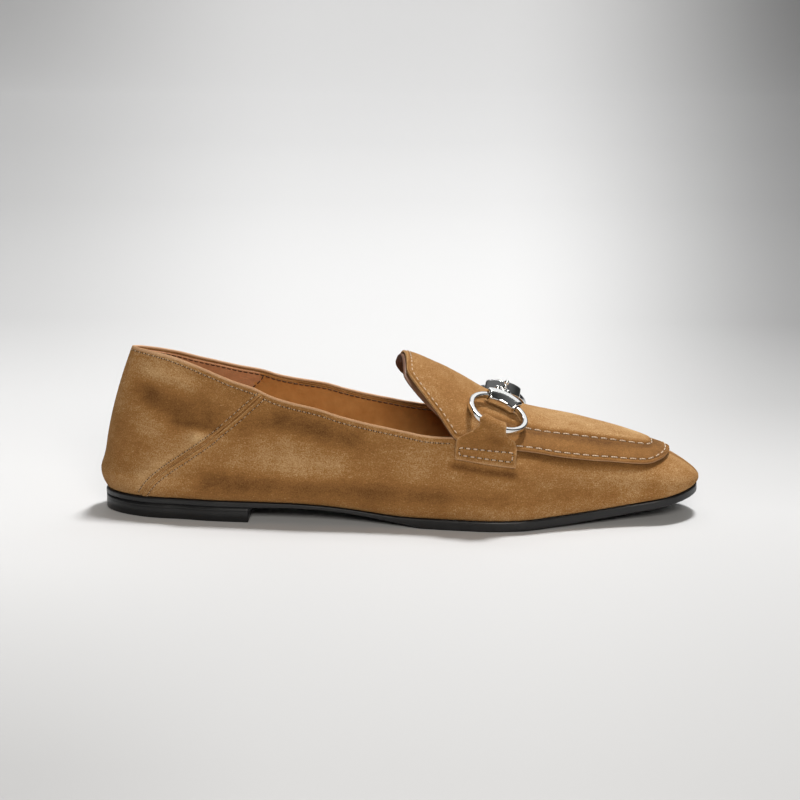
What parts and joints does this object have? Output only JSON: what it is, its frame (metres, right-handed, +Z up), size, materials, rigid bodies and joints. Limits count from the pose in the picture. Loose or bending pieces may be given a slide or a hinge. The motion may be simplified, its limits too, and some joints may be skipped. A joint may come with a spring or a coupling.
{
  "type": "bit loafer",
  "caption": "Slim suede loafer with an almond toe, raised apron and tongue, polished snaffle bit held by leather tabs, and a thin black sole with a low heel.",
  "frame": {"origin": "middle of the shoe's footprint box, on the floor", "axes": "+X towards the toe, -Y towards the outer (lateral) side, +Z up from the floor"},
  "size_m": [0.2664, 0.088, 0.0726],
  "materials": {
    "suede": "short-napped tan suede",
    "lining": "smooth tan lining leather",
    "sole": "satin black",
    "bit": "polished pale metal"
  },
  "bodies": {
    "root": {"outsole": "sole", "heel": "sole", "upper": "suede", "apron": "suede", "insole": "lining", "tab_lateral": "suede", "tab_medial": "suede", "bit_ring_lateral": "bit", "bit_ring_medial": "bit", "bit_bar_lateral": "bit", "bit_bar_medial": "bit", "bit_link": "bit"}
  },
  "joints": []
}
